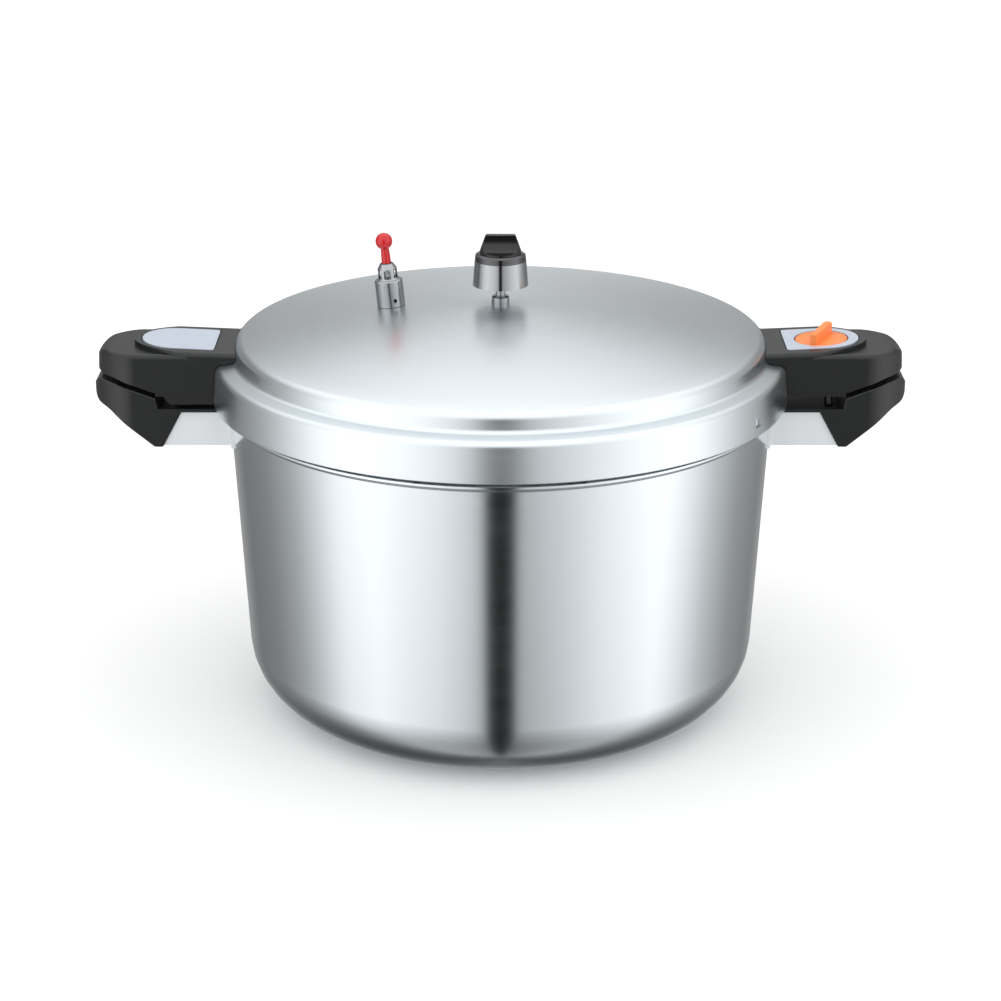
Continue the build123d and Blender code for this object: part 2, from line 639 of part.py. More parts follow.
def lock_slider():
    """Plate that the sleeve lowers, with an arm that carries the pin."""
    low, high = -SLIDER_DROP - SLIDER_THICKNESS, -SLIDER_DROP
    arm = PIN_R + 0.6
    shape = rod(SLIDER_RING_R, low, high)
    shape += block((PIN_AT[0] - arm, PIN_AT[0] + arm), (PIN_AT[1], 0), (low, high))
    shape += rod(arm, low, high, at=PIN_AT)
    shape -= rod(SLEEVE_R + RUN_GAP, low - 1, high + 1)
    return TOP_PLACE * (shape - rod(PIN_R - 0.6, low - 1, high + 1, at=PIN_AT))


def lock_pin():
    """Pin that drops into the pot handle and stops the lid turning."""
    low, high = -SLIDER_DROP - SLIDER_THICKNESS, -SLIDER_DROP
    pin = rod(PIN_R, low - PIN_LENGTH, low, at=PIN_AT)
    pin = chamfer(pin.edges().group_by(Axis.Z)[0], 0.4)
    return TOP_PLACE * (pin + rod(PIN_R - 0.65, low, high, at=PIN_AT))


def lock_spring():
    """Spring between the base cover and the slider."""
    low = HANDLE_UNDERSIDE + BASE_PLUG + 0.6 - PAD_TOP
    radius = (SLEEVE_R + SLIDER_RING_R) / 2
    return TOP_PLACE * coil(radius, SPRING_WIRE_R, low, -SLIDER_DROP - SLIDER_THICKNESS - 0.1, 4)


def vent_nozzle():
    """Steam nozzle: collar on the dome, neck for the weight and thread through the lid."""
    neck = make_face(Polyline(
        (NOZZLE_BORE_R, -THREAD_LENGTH), (NOZZLE_THREAD_R, -THREAD_LENGTH), (NOZZLE_THREAD_R, 0),
        (NOZZLE_COLLAR_R, 0),
        (NOZZLE_COLLAR_R, NOZZLE_COLLAR_HEIGHT - 1), (NOZZLE_COLLAR_R - 1, NOZZLE_COLLAR_HEIGHT),
        (NOZZLE_R, NOZZLE_COLLAR_HEIGHT), (NOZZLE_R, NOZZLE_HEIGHT - 1.5),
        (NOZZLE_BORE_R + 0.3, NOZZLE_HEIGHT), (NOZZLE_BORE_R, NOZZLE_HEIGHT), close=True))
    return Pos(0, 0, DOME_TOP) * spun(neck)


def inside_washer(radius):
    """Washer under the lid on a thread of the radius."""
    top = -LID_WALL - SEAT_GAP
    return rod(radius + WASHER_WIDTH, top - WASHER_THICKNESS, top, radius + HOLE_PLAY)


def inside_nut(radius, height):
    """Hexagon nut under the washer on a thread of the radius."""
    hexagon = extrude(RegularPolygon(radius + NUT_WALL, 6, major_radius=False), height)
    low = -LID_WALL - SEAT_GAP - WASHER_THICKNESS - height
    return Pos(0, 0, low) * hexagon - rod(radius + SCREW_HOLE_GAP, -20, 0)


def nozzle_washer():
    """Sealing washer of the nozzle."""
    return Pos(0, 0, DOME_TOP) * inside_washer(NOZZLE_THREAD_R)


def nozzle_nut():
    """Nut of the nozzle."""
    return Pos(0, 0, DOME_TOP) * inside_nut(NOZZLE_THREAD_R, NOZZLE_NUT_HEIGHT)


def nozzle_filter_cap():
    """Perforated cap that keeps food out of the nozzle."""
    top = -LID_WALL - WASHER_THICKNESS - SEAT_GAP - NOZZLE_NUT_HEIGHT
    cap = rod(FILTER_R, top - FILTER_HEIGHT, top)
    cap -= rod(FILTER_R - FILTER_WALL, top - FILTER_HEIGHT + FILTER_WALL, top - FILTER_WALL)
    cap -= rod(NOZZLE_THREAD_R + SCREW_HOLE_GAP, top - FILTER_HEIGHT / 2, top + 1)
    for number in range(8):
        turn = Rot(0, 0, number * 45)
        cap -= turn * Pos(FILTER_R, 0, top - FILTER_HEIGHT / 2) * Rot(0, 90, 0) * Cylinder(FILTER_HOLE_R, 4)
        cap -= turn * Pos(FILTER_R / 2, 0, top - FILTER_HEIGHT) * Cylinder(FILTER_HOLE_R, 4)
    return Pos(0, 0, DOME_TOP) * cap


def weight_body():
    """Bell-shaped weight that sits on the nozzle."""
    top = WEIGHT_RISE + WEIGHT_HEIGHT
    bore = NOZZLE_R + WEIGHT_PLAY
    seat = NOZZLE_HEIGHT + WEIGHT_PLAY
    section = make_face(Polyline(
        (bore, WEIGHT_RISE + 3), (WEIGHT_R - 4.5, WEIGHT_RISE + 3), (WEIGHT_R - 1.6, WEIGHT_RISE),
        (WEIGHT_R, WEIGHT_RISE), (WEIGHT_R - WEIGHT_TAPER, top), (2.1, top), (2.1, seat + 2.5),
        (bore, seat), close=True))
    return Pos(0, 0, DOME_TOP) * spun(section)


def weight_needle():
    """Steel pin in the weight that closes the nozzle."""
    top = WEIGHT_RISE + WEIGHT_HEIGHT
    shape = rod(2.05, NOZZLE_HEIGHT + WEIGHT_PLAY + 1, top)
    return Pos(0, 0, DOME_TOP) * shape


def weight_ring():
    """Bright bevelled ring between the weight and its cap."""
    low = WEIGHT_RISE + WEIGHT_HEIGHT
    edge = WEIGHT_R - WEIGHT_TAPER
    section = make_face(Polyline(
        (0, low), (edge, low), (edge - 0.4, low + WEIGHT_RING_HEIGHT - 0.9),
        (WEIGHT_CAP_R + 0.6, low + WEIGHT_RING_HEIGHT), (0, low + WEIGHT_RING_HEIGHT), close=True))
    return Pos(0, 0, DOME_TOP) * spun(section)


def weight_cap():
    """Heat-proof cap with a flat-sided grip."""
    low = WEIGHT_RISE + WEIGHT_HEIGHT + WEIGHT_RING_HEIGHT
    high = low + WEIGHT_CAP_HEIGHT
    section = make_face(Polyline(
        (0, low), (WEIGHT_CAP_R, low), (WEIGHT_CAP_R, low + 1), (WEIGHT_CAP_TOP_R, high),
        (0, high), close=True))
    cap = spun(rounded(section, [((WEIGHT_CAP_TOP_R, high), 1)]))
    scoop_r = WEIGHT_CAP_HEIGHT - 2
    for side in (-1, 1):
        reach = side * (scoop_r + WEIGHT_GRIP / 2)
        cap -= Pos(0, reach, high - 0.8) * Rot(0, 90, 0) * Cylinder(scoop_r, 4 * WEIGHT_CAP_R)
        cap -= block((-2 * WEIGHT_CAP_R, 2 * WEIGHT_CAP_R), sorted((reach, 2 * reach)),
                     (low + 1.2, high + 1))
    return Pos(0, 0, DOME_TOP) * cap


def on_valve(shape):
    """A piece drawn round its own axis, moved to the relief valve's place on the dome."""
    return VALVE_PLACE * shape


def relief_valve_body():
    """Round valve housing with a chamber, a side vent and a thread through the lid."""
    section = make_face(Polyline(
        (VALVE_INLET_R, -THREAD_LENGTH), (VALVE_THREAD_R, -THREAD_LENGTH), (VALVE_THREAD_R, 0.1),
        (VALVE_R, 0.1), (VALVE_R, VALVE_HEIGHT - 0.6), (VALVE_R - 0.6, VALVE_HEIGHT),
        (VALVE_CHAMBER_R, VALVE_HEIGHT), (VALVE_CHAMBER_R, VALVE_FLOOR), (VALVE_INLET_R, VALVE_FLOOR),
        close=True))
    shape = spun(section)
    vent = Pos(VALVE_R, 0, VALVE_VENT_RISE + VALVE_VENT_R) * Rot(0, 90, 0) * Cylinder(VALVE_VENT_R, 6)
    return on_valve(shape - Rot(0, 0, VALVE_VENT_BEARING) * vent)


def relief_valve_cage():
    """Windowed cage screwed into the housing, with a bevelled top round the lever."""
    top = VALVE_HEIGHT + CAGE_HEIGHT
    plug = VALVE_CHAMBER_R - SCREW_HOLE_GAP
    section = make_face(Polyline(
        (plug - 1.1, VALVE_HEIGHT - 3.5), (plug, VALVE_HEIGHT - 3.5), (plug, VALVE_HEIGHT),
        (CAGE_R, VALVE_HEIGHT + 0.6), (CAGE_R, top), (CAGE_HOLE_R + 0.3, top + CAGE_CONE),
        (CAGE_HOLE_R, top + CAGE_CONE), (CAGE_HOLE_R, top), (CAGE_BORE_R, top - 0.4),
        (CAGE_BORE_R, VALVE_HEIGHT), (plug - 1.1, VALVE_HEIGHT - 0.8), close=True))
    shape = spun(section)
    for number in range(CAGE_WINDOWS):
        middle = VALVE_HEIGHT + CAGE_HEIGHT / 2 + 0.2
        window = Pos(CAGE_R, 0, middle) * Box(5, CAGE_WINDOW_WIDTH, CAGE_HEIGHT - 1.6)
        shape -= Rot(0, 0, 30 + number * 360 / CAGE_WINDOWS) * window
    return on_valve(shape)


def relief_valve_washer():
    """Sealing washer of the relief valve."""
    return on_valve(inside_washer(VALVE_THREAD_R))


def relief_valve_nut():
    """Nut of the relief valve."""
    return on_valve(inside_nut(VALVE_THREAD_R, VALVE_NUT_HEIGHT))


def relief_spring():
    """Spring that holds the lever's collar down and the valve shut."""
    return on_valve(coil(3.4, 0.35, VALVE_HEIGHT + 0.9, VALVE_HEIGHT + CAGE_HEIGHT - 0.6, 4))


def lever_pin():
    """Steel stem of the release lever, with the collar that the spring presses on."""
    shape = rod(STEM_R, VALVE_FLOOR + 1.6, KNOB_RISE)
    shape += rod(2.6, VALVE_HEIGHT - 0.6, VALVE_HEIGHT + 0.3)
    return on_valve(shape)


def lever_seal():
    """Rubber tip on the stem's lower end that closes the valve."""
    low, high = VALVE_FLOOR + 0.5, VALVE_FLOOR + 3.4
    seat = VALVE_INLET_R + HOLE_PLAY
    bore = STEM_R + SCREW_HOLE_GAP
    section = make_face(Polyline(
        (0, low), (seat - 0.8, low), (seat, low + 1.1), (seat, high), (bore, high),
        (bore, low + 1.05), (0, low + 1.05), close=True))
    return on_valve(spun(section))


def lever_knob():
    """Red knob of the release lever: tapered neck and ball."""
    low = VALVE_HEIGHT + CAGE_HEIGHT + CAGE_CONE + 0.2
    knob = rod(KNOB_NECK_R, low, low + 2)
    waist = make_face(Polyline((0, low + 2), (KNOB_NECK_R, low + 2), (KNOB_NECK_R - 0.5, KNOB_RISE),
                               (0, KNOB_RISE), close=True))
    knob += spun(waist) + Pos(0, 0, KNOB_RISE) * Sphere(KNOB_R)
    return on_valve(knob - rod(STEM_R + SCREW_HOLE_GAP, 0, KNOB_RISE + 0.05))


def write(name, shape):
    """Write one node's STEP file."""
    shape.label = name
    export_step(shape, f"parts/{name}.step")


def main():
    """Build every piece and write its file."""
    os.makedirs("parts", exist_ok=True)
    for side in ("left", "right"):
        write(f"handle_bracket_{side}", handle_bracket(side))
        write(f"pot_handle_{side}", pot_handle(side))
        write(f"pot_handle_screws_{side}", pot_handle_screws(side))
        write(f"lid_bracket_{side}", lid_bracket(side))
        write(f"lid_handle_{side}", lid_handle(side))
        write(f"lid_handle_base_{side}", lid_handle_base(side))
        write(f"lid_handle_screws_{side}", lid_handle_screws(side))
    write("label_plate_left", label_plate("left"))
    write("dial_plate_right", label_plate("right"))
    singles = [
        pot_body, lid_shell, lid_gasket, vent_nozzle, nozzle_washer, nozzle_nut, nozzle_filter_cap,
        weight_body, weight_needle, weight_ring, weight_cap, relief_valve_body, relief_valve_cage,
        relief_valve_washer, relief_valve_nut, relief_spring, lever_pin, lever_seal, lever_knob,
        lock_dial, dial_sleeve, dial_screw, lock_slider, lock_pin, lock_spring,
    ]
    for make in singles:
        write(make.__name__, make())


main()
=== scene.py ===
"""Studio look of a large stainless pressure canner: materials, spun pot and lid, soft light and camera."""
from math import asin, cos, pi, radians, sin, sqrt

import bmesh
import bpy
from mathutils import Matrix, Vector


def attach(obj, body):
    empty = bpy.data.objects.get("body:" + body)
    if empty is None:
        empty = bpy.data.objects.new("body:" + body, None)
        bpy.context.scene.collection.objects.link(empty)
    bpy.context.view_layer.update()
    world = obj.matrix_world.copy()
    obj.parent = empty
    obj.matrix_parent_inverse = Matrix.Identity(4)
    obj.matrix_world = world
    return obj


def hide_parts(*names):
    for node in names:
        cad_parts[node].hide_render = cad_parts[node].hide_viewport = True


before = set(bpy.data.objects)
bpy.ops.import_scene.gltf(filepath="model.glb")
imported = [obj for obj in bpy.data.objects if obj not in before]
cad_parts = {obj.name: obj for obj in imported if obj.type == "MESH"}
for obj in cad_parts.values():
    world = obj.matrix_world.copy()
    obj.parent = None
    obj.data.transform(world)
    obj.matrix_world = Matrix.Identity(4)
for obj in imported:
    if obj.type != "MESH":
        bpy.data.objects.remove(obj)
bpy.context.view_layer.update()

# Sizes in metres, as the pot and lid are drawn
POT_R = 0.1517
POT_WALL = 0.0017
POT_TAPER = 0.0094
POT_HEIGHT = 0.1892
BASE_CORNER_R = 0.039
BASE_THICKNESS = 0.005
BEAD_OUT = 0.0029
BEAD_HEIGHT = 0.0018
BEAD_Z = POT_HEIGHT - 0.0114
LUG_R = 0.157
LUG_COUNT = 6
LUG_ANGLE = radians(25)
LUG_TOP = POT_HEIGHT - 0.0014
LUG_THICKNESS = 0.003
LUG_GAP = 0.0008
LUG_OVERLAP = 0.0028
LID_WALL = 0.0016
SEAM = 0.1812
SKIRT_R = 0.161
SKIRT_TAPER = 0.0019
SKIRT_HEIGHT = 0.0213
FLANGE_R = 0.148
FLANGE_RISE = 0.0017
DOME_R = 0.1469
DOME_EDGE = 0.0326
DOME_RISE = 0.0178
DOME_SPHERE_R = (DOME_R**2 + DOME_RISE**2) / (2 * DOME_RISE)
DOME_TOP = SEAM + DOME_EDGE + DOME_RISE
WINDOW_BEARING = radians(-31.6)
WINDOW_LOW = SEAM + 0.0051
WINDOW_HIGH = SEAM + 0.0101
WINDOW_ANGLE = 0.005 / SKIRT_R
DOME_RUN_IN = 0.012
EDGE_R = 0.0006
SHEET_EDGE_R = 0.0004
LUG_SEAT = 0.0006
WELD = 1e-6
POT_STEPS = 256
DOME_STEPS = 24
LUG_STEPS = 12
FLOOR_R = 14

# Camera
CAMERA_HEIGHT = radians(20.09)
CAMERA_DISTANCE = 1.449
CAMERA_AIM = 0.1142
CAMERA_LENS = 91.2

# Light from the studio's walls: bearing in degrees from +X, and brightness. The front has a dark gap.
OVERHEAD = 1.52
SIDE_BANKS = [
    (0, 1.30), (14, 0.80), (34, 0.42), (60, 0.26), (80, 0.42), (90, 0.65), (100, 0.42), (125, 0.22),
    (150, 0.32), (168, 0.56), (181, 0.94), (195, 1.50), (212, 1.75), (240, 1.42), (256, 1.08),
    (262.5, 0.80), (263.5, 0.0), (276.5, 0.0), (277.5, 0.72), (297, 1.02), (318, 1.42), (345, 1.75),
    (360, 1.30),
]


# ---------------------------------------------------------------- materials

def principled(name, colour, roughness, metallic=0.0):
    """A new material and its shader, with the plain values set on the shader itself."""
    material = bpy.data.materials.new(name)
    material.use_nodes = True
    shader = material.node_tree.nodes["Principled BSDF"]
    shader.inputs["Base Color"].default_value = (*colour, 1)
    shader.inputs["Roughness"].default_value = roughness
    shader.inputs["Metallic"].default_value = metallic
    return material, shader


def add(tree, kind, **values):
    """A node with its named settings and inputs."""
    node = tree.nodes.new("ShaderNode" + kind)
    for key, value in values.items():
        if hasattr(node, key):
            setattr(node, key, value)
        else:
            node.inputs[key.replace("_", " ").title()].default_value = value
    return node


def noise(tree, coordinate, scale, detail=2.0):
    """A noise texture read at a coordinate."""
    node = add(tree, "TexNoise", scale=scale, detail=detail)
    tree.links.new(coordinate, node.inputs["Vector"])
    return node.outputs["Fac"]


def spread(tree, value, low, high):
    """A value from 0 to 1 spread between two numbers."""
    node = add(tree, "MapRange")
    node.inputs["To Min"].default_value = low
    node.inputs["To Max"].default_value = high
    tree.links.new(value, node.inputs["Value"])
    return node.outputs["Result"]


def bump(tree, shader, height, strength, distance):
    """Relief from a height, feeding the shader's normal."""
    node = add(tree, "Bump")
    node.inputs["Strength"].default_value = strength
    node.inputs["Distance"].default_value = distance
    tree.links.new(height, node.inputs["Height"])
    tree.links.new(node.outputs["Normal"], shader.inputs["Normal"])


def ring_lines(tree, across):
    """A coordinate that runs slowly round the Z axis and quickly up and outwards, as turned brushing does."""
    place = add(tree, "TexCoord").outputs["Object"]
    split = add(tree, "SeparateXYZ")
    tree.links.new(place, split.inputs["Vector"])
    flat = add(tree, "CombineXYZ")
    tree.links.new(split.outputs["X"], flat.inputs["X"])
    tree.links.new(split.outputs["Y"], flat.inputs["Y"])
    length = add(tree, "VectorMath", operation="LENGTH")
    tree.links.new(flat.outputs["Vector"], length.inputs[0])
    unit = add(tree, "VectorMath", operation="NORMALIZE")
    tree.links.new(flat.outputs["Vector"], unit.inputs[0])
    rise = add(tree, "Math", operation="ADD")
    tree.links.new(length.outputs["Value"], rise.inputs[0])
    tree.links.new(split.outputs["Z"], rise.inputs[1])
    scaled = add(tree, "Math", operation="MULTIPLY")
    scaled.inputs[1].default_value = across
    tree.links.new(rise.outputs["Value"], scaled.inputs[0])
    up = add(tree, "CombineXYZ")
    tree.links.new(scaled.outputs["Value"], up.inputs["Z"])
    total = add(tree, "VectorMath", operation="ADD")
    tree.links.new(unit.outputs["Vector"], total.inputs[0])
    tree.links.new(up.outputs["Vector"], total.inputs[1])
    return total.outputs["Vector"]


def turned_steel(name, colour, roughness, stretch, relief):
    """Stainless steel brushed in rings round the Z axis, whose highlights stretch across the rings."""
    material, shader = principled(name, colour, roughness, metallic=1.0)
    tree = material.node_tree
    shader.inputs["Anisotropic"].default_value = stretch
    shader.inputs["Anisotropic Rotation"].default_value = 0.25
    around = add(tree, "Tangent", direction_type="RADIAL", axis="Z")
    tree.links.new(around.outputs["Tangent"], shader.inputs["Tangent"])
    fine = noise(tree, ring_lines(tree, 900), 2.0, 3.0)
    broad = noise(tree, ring_lines(tree, 60), 2.5, 2.0)
    both = add(tree, "Math", operation="ADD")
    tree.links.new(fine, both.inputs[0])
    tree.links.new(broad, both.inputs[1])
    uneven = add(tree, "MapRange")
    uneven.inputs["From Max"].default_value = 2.0
    uneven.inputs["To Min"].default_value = roughness - 0.05
    uneven.inputs["To Max"].default_value = roughness + 0.05
    tree.links.new(both.outputs["Value"], uneven.inputs["Value"])
    tree.links.new(uneven.outputs["Result"], shader.inputs["Roughness"])
    bump(tree, shader, fine, relief, 0.00004)
    return material


def plain_steel(name, colour, roughness, grain, metallic=1.0):
    """Steel with faint uneven polish, for small turned and bent pieces."""
    material, shader = principled(name, colour, roughness, metallic=metallic)
    tree = material.node_tree
    place = add(tree, "TexCoord").outputs["Object"]
    mapping = add(tree, "Mapping")
    mapping.inputs["Scale"].default_value = grain
    tree.links.new(place, mapping.inputs["Vector"])
    streaks = noise(tree, mapping.outputs["Vector"], 1.0, 4.0)
    tree.links.new(spread(tree, streaks, roughness * 0.7, roughness * 1.35), shader.inputs["Roughness"])
    bump(tree, shader, streaks, 0.08, 0.00003)
    return material


def moulded(name, colour, roughness, grain=2200, relief=0.12, coat=0.0):
    """Moulded plastic with a faint pebble and slightly uneven gloss."""
    material, shader = principled(name, colour, roughness)
    tree = material.node_tree
    shader.inputs["Coat Weight"].default_value = coat
    shader.inputs["Coat Roughness"].default_value = 0.12
    place = add(tree, "TexCoord").outputs["Object"]
    pebble = noise(tree, place, grain, 2.0)
    cloudy = noise(tree, place, 60, 3.0)
    tree.links.new(spread(tree, cloudy, roughness * 0.85, roughness * 1.15), shader.inputs["Roughness"])
    shade = add(tree, "MixRGB", blend_type="MIX")
    shade.inputs["Color1"].default_value = (*[c * 0.88 for c in colour], 1)
    shade.inputs["Color2"].default_value = (*[min(c * 1.12, 1) for c in colour], 1)
    tree.links.new(cloudy, shade.inputs["Fac"])
    tree.links.new(shade.outputs["Color"], shader.inputs["Base Color"])
    bump(tree, shader, pebble, relief, 0.00006)
    return material


def label_metal(name):
    """Pale satin label sheet with a fine sparkle."""
    material, shader = principled(name, (0.52, 0.58, 0.68), 0.38, metallic=0.35)
    tree = material.node_tree
    place = add(tree, "TexCoord").outputs["Object"]
    sparkle = noise(tree, place, 1400, 4.0)
    cloud = noise(tree, place, 180, 3.0)
    shade = add(tree, "MixRGB", blend_type="MIX")
    shade.inputs["Color1"].default_value = (0.42, 0.48, 0.58, 1)
    shade.inputs["Color2"].default_value = (0.68, 0.73, 0.82, 1)
    mixed = add(tree, "Math", operation="MULTIPLY")
    mixed.inputs[1].default_value = 0.7
    tree.links.new(sparkle, mixed.inputs[0])
    part = add(tree, "Math", operation="MULTIPLY")
    part.inputs[1].default_value = 0.3
    tree.links.new(cloud, part.inputs[0])
    total = add(tree, "Math", operation="ADD")
    tree.links.new(mixed.outputs["Value"], total.inputs[0])
    tree.links.new(part.outputs["Value"], total.inputs[1])
    tree.links.new(total.outputs["Value"], shade.inputs["Fac"])
    tree.links.new(shade.outputs["Color"], shader.inputs["Base Color"])
    tree.links.new(spread(tree, sparkle, 0.25, 0.5), shader.inputs["Roughness"])
    bump(tree, shader, sparkle, 0.15, 0.00005)
    return material


STEEL = (0.66, 0.705, 0.73)
pot_steel = turned_steel("pot_steel", STEEL, 0.19, 0.65, 0.1)
lid_steel = turned_steel("lid_steel", STEEL, 0.30, 0.35, 0.15)
bracket_steel = plain_steel("bracket_steel", (0.84, 0.87, 0.89), 0.42, (90, 1500, 1500), 0.5)
polished_steel = plain_steel("polished_steel", (0.36, 0.37, 0.38), 0.14, (300, 300, 900))
screw_steel = plain_steel("screw_steel", (0.60, 0.61, 0.62), 0.3, (600, 600, 600))
phenolic = moulded("phenolic", (0.0035, 0.0045, 0.005), 0.34, relief=0.08)
pin_black = plain_steel("pin_black", (0.05, 0.05, 0.05), 0.35, (600, 600, 600))
cap_black = moulded("cap_black", (0.002, 0.002, 0.0022), 0.22, relief=0.05)
ring_black = plain_steel("ring_black", (0.10, 0.10, 0.105), 0.16, (300, 300, 900))
dial_orange = moulded("dial_orange", (0.93, 0.25, 0.06), 0.40, relief=0.06)
lever_red = moulded("lever_red", (0.55, 0.003, 0.006), 0.12, relief=0.02, coat=0.2)
label_sheet = label_metal("label_sheet")
silicone = moulded("silicone", (0.72, 0.72, 0.69), 0.6)

NODE_FINISH = {
    pot_steel: ["pot_body"],
    lid_steel: ["lid_shell", "lid_bracket_left", "lid_bracket_right"],
    bracket_steel: ["handle_bracket_left", "handle_bracket_right"],
    polished_steel: ["vent_nozzle", "relief_valve_body", "relief_valve_cage", "weight_body"],
    ring_black: ["weight_ring"],
    screw_steel: [
        "pot_handle_screws_left", "pot_handle_screws_right", "lid_handle_screws_left",
        "lid_handle_screws_right", "nozzle_nut", "nozzle_filter_cap", "relief_valve_nut", "relief_spring",
        "lever_pin", "weight_needle", "dial_screw", "lock_slider", "lock_spring",
    ],
    pin_black: ["lock_pin"],
    phenolic: [
        "pot_handle_left", "pot_handle_right", "lid_handle_left", "lid_handle_right",
        "lid_handle_base_left", "lid_handle_base_right",
    ],
    cap_black: ["weight_cap"],
    dial_orange: ["lock_dial", "dial_sleeve"],
    lever_red: ["lever_knob"],
    label_sheet: ["label_plate_left", "dial_plate_right"],
    silicone: ["lid_gasket", "nozzle_washer", "relief_valve_washer", "lever_seal"],
}


def finish_nodes():
    """Each frame node gets its finish."""
    for material, names in NODE_FINISH.items():
        for name in names:
            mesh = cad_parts[name].data
            mesh.materials.clear()
            mesh.materials.append(material)


# ---------------------------------------------------------------- spun pieces

def piece(name, bm, material, body, slot, *stands_for):
    """The mesh as a finished piece that rides on a body and stands for the frame's nodes."""
    mesh = bpy.data.meshes.new(name)
    bm.to_mesh(mesh)
    bm.free()
    mesh.materials.append(material)
    mesh.shade_smooth()
    mesh.set_sharp_from_angle(angle=radians(38))
    made = bpy.data.objects.new(name, mesh)
    bpy.context.scene.collection.objects.link(made)
    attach(made, body)
    if stands_for:
        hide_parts(*stands_for)
    return made


def outline(bm, corners):
    """A run of edges through (radius, height, rounding) corners, each corner rounded back by its amount."""
    verts = [bm.verts.new((radius, 0, height)) for radius, height, _ in corners]
    for pair in zip(verts, verts[1:]):
        bm.edges.new(pair)
    for vert, (_, _, cut) in zip(verts, corners):
        if cut:
            bmesh.ops.bevel(bm, geom=[vert], offset=cut, offset_type="OFFSET", segments=8, profile=0.5,
                            affect="VERTICES", material=-1, clamp_overlap=False)


def spun(bm, steps, start=0.0):
    """Everything in the mesh spun once round Z, joined up, with its faces outwards."""
    if start:
        bmesh.ops.rotate(bm, cent=(0, 0, 0), matrix=Matrix.Rotation(start, 3, "Z"), verts=bm.verts)
    bmesh.ops.spin(bm, geom=bm.verts[:] + bm.edges[:], cent=(0, 0, 0), axis=(0, 0, 1), dvec=(0, 0, 0),
                   angle=2 * pi, steps=steps, use_merge=True, use_duplicate=False)
    bmesh.ops.remove_doubles(bm, verts=bm.verts, dist=WELD)
    bmesh.ops.recalc_face_normals(bm, faces=bm.faces)


def cap_arc(bm, radius, rim, top, steps):
    """A run of edges along a dome, from its rim at the radius to its top on the axis."""
    centre = top - radius
    slope = asin(rim / radius)
    start = bm.verts.new((rim, 0, centre + radius * cos(slope)))
    bmesh.ops.spin(bm, geom=[start], cent=(0, 0, centre), axis=(0, 1, 0), dvec=(0, 0, 0),
                   angle=-slope, steps=steps, use_merge=False, use_duplicate=False)


def lugs(bm, inner, outer, low, high):
    """Bayonet lugs as closed sectors of a ring, evenly spaced, with the first of them centred on +X."""
    for number in range(LUG_COUNT):
        lug = bmesh.ops.create_grid(bm, x_segments=1, y_segments=1, size=0.5)["verts"]
        bmesh.ops.scale(bm, vec=(outer - inner, high - low, 1), verts=lug)
        bmesh.ops.rotate(bm, cent=(0, 0, 0), matrix=Matrix.Rotation(pi / 2, 3, "X"), verts=lug)
        bmesh.ops.translate(bm, vec=Vector(((outer + inner) / 2, 0, (low + high) / 2)), verts=lug)
        bearing = number * 2 * pi / LUG_COUNT - LUG_ANGLE / 2
        bmesh.ops.rotate(bm, cent=(0, 0, 0), matrix=Matrix.Rotation(bearing, 3, "Z"), verts=lug)
        face = next(f for f in bm.faces if set(f.verts) == set(lug))
        start = bmesh.ops.duplicate(bm, geom=[face])["geom"]
        moved = [g for g in start if isinstance(g, bmesh.types.BMFace)]
        edges = moved[0].edges[:]
        bmesh.ops.spin(bm, geom=moved[0].verts[:] + edges + moved, cent=(0, 0, 0), axis=(0, 0, 1),
                       dvec=(0, 0, 0), angle=LUG_ANGLE, steps=LUG_STEPS, use_merge=False, use_duplicate=False)


def pot_shell():
    """Drawn pot with its clad base, tapered wall, stop bead, rim and bayonet lugs."""
    bm = bmesh.new()
    base_r = POT_R - POT_TAPER
    inner_r = POT_R - POT_WALL
    knee = BEAD_Z - BEAD_HEIGHT
    cut = BASE_CORNER_R * 0.97
    outline(bm, [
        (0, 0, 0), (base_r, 0, cut), (POT_R, knee - BEAD_HEIGHT, SHEET_EDGE_R),
        (POT_R + BEAD_OUT, knee, EDGE_R), (POT_R + BEAD_OUT, BEAD_Z, EDGE_R),
        (POT_R, BEAD_Z + 0.0005, SHEET_EDGE_R),
        (POT_R, POT_HEIGHT, POT_WALL * 0.4), (inner_r, POT_HEIGHT, POT_WALL * 0.4), (inner_r, knee, 0.002),
        (base_r - POT_WALL, BASE_THICKNESS, cut - POT_WALL), (0, BASE_THICKNESS, 0),
    ])
    spun(bm, POT_STEPS)
    lugs(bm, inner_r + LUG_SEAT, LUG_R, LUG_TOP - LUG_THICKNESS, LUG_TOP)
    bmesh.ops.remove_doubles(bm, verts=bm.verts, dist=WELD)
    bmesh.ops.recalc_face_normals(bm, faces=bm.faces)
    return piece("pot_shell", bm, pot_steel, "pot", "stainless", "pot_body")


def in_window(face, outer):
    """Whether a skirt face lies inside the punched window, on the outer or the inner side."""
    middle = face.calc_center_median()
    radius = sqrt(middle.x**2 + middle.y**2)
    turn = Vector((middle.x, middle.y)).angle_signed(Vector((cos(WINDOW_BEARING), sin(WINDOW_BEARING))))
    side = radius > SKIRT_R - SKIRT_TAPER - LID_WALL / 2 if outer else radius < SKIRT_R - LID_WALL / 2
    return side and abs(turn) < WINDOW_ANGLE / 2 and WINDOW_LOW < middle.z < WINDOW_HIGH


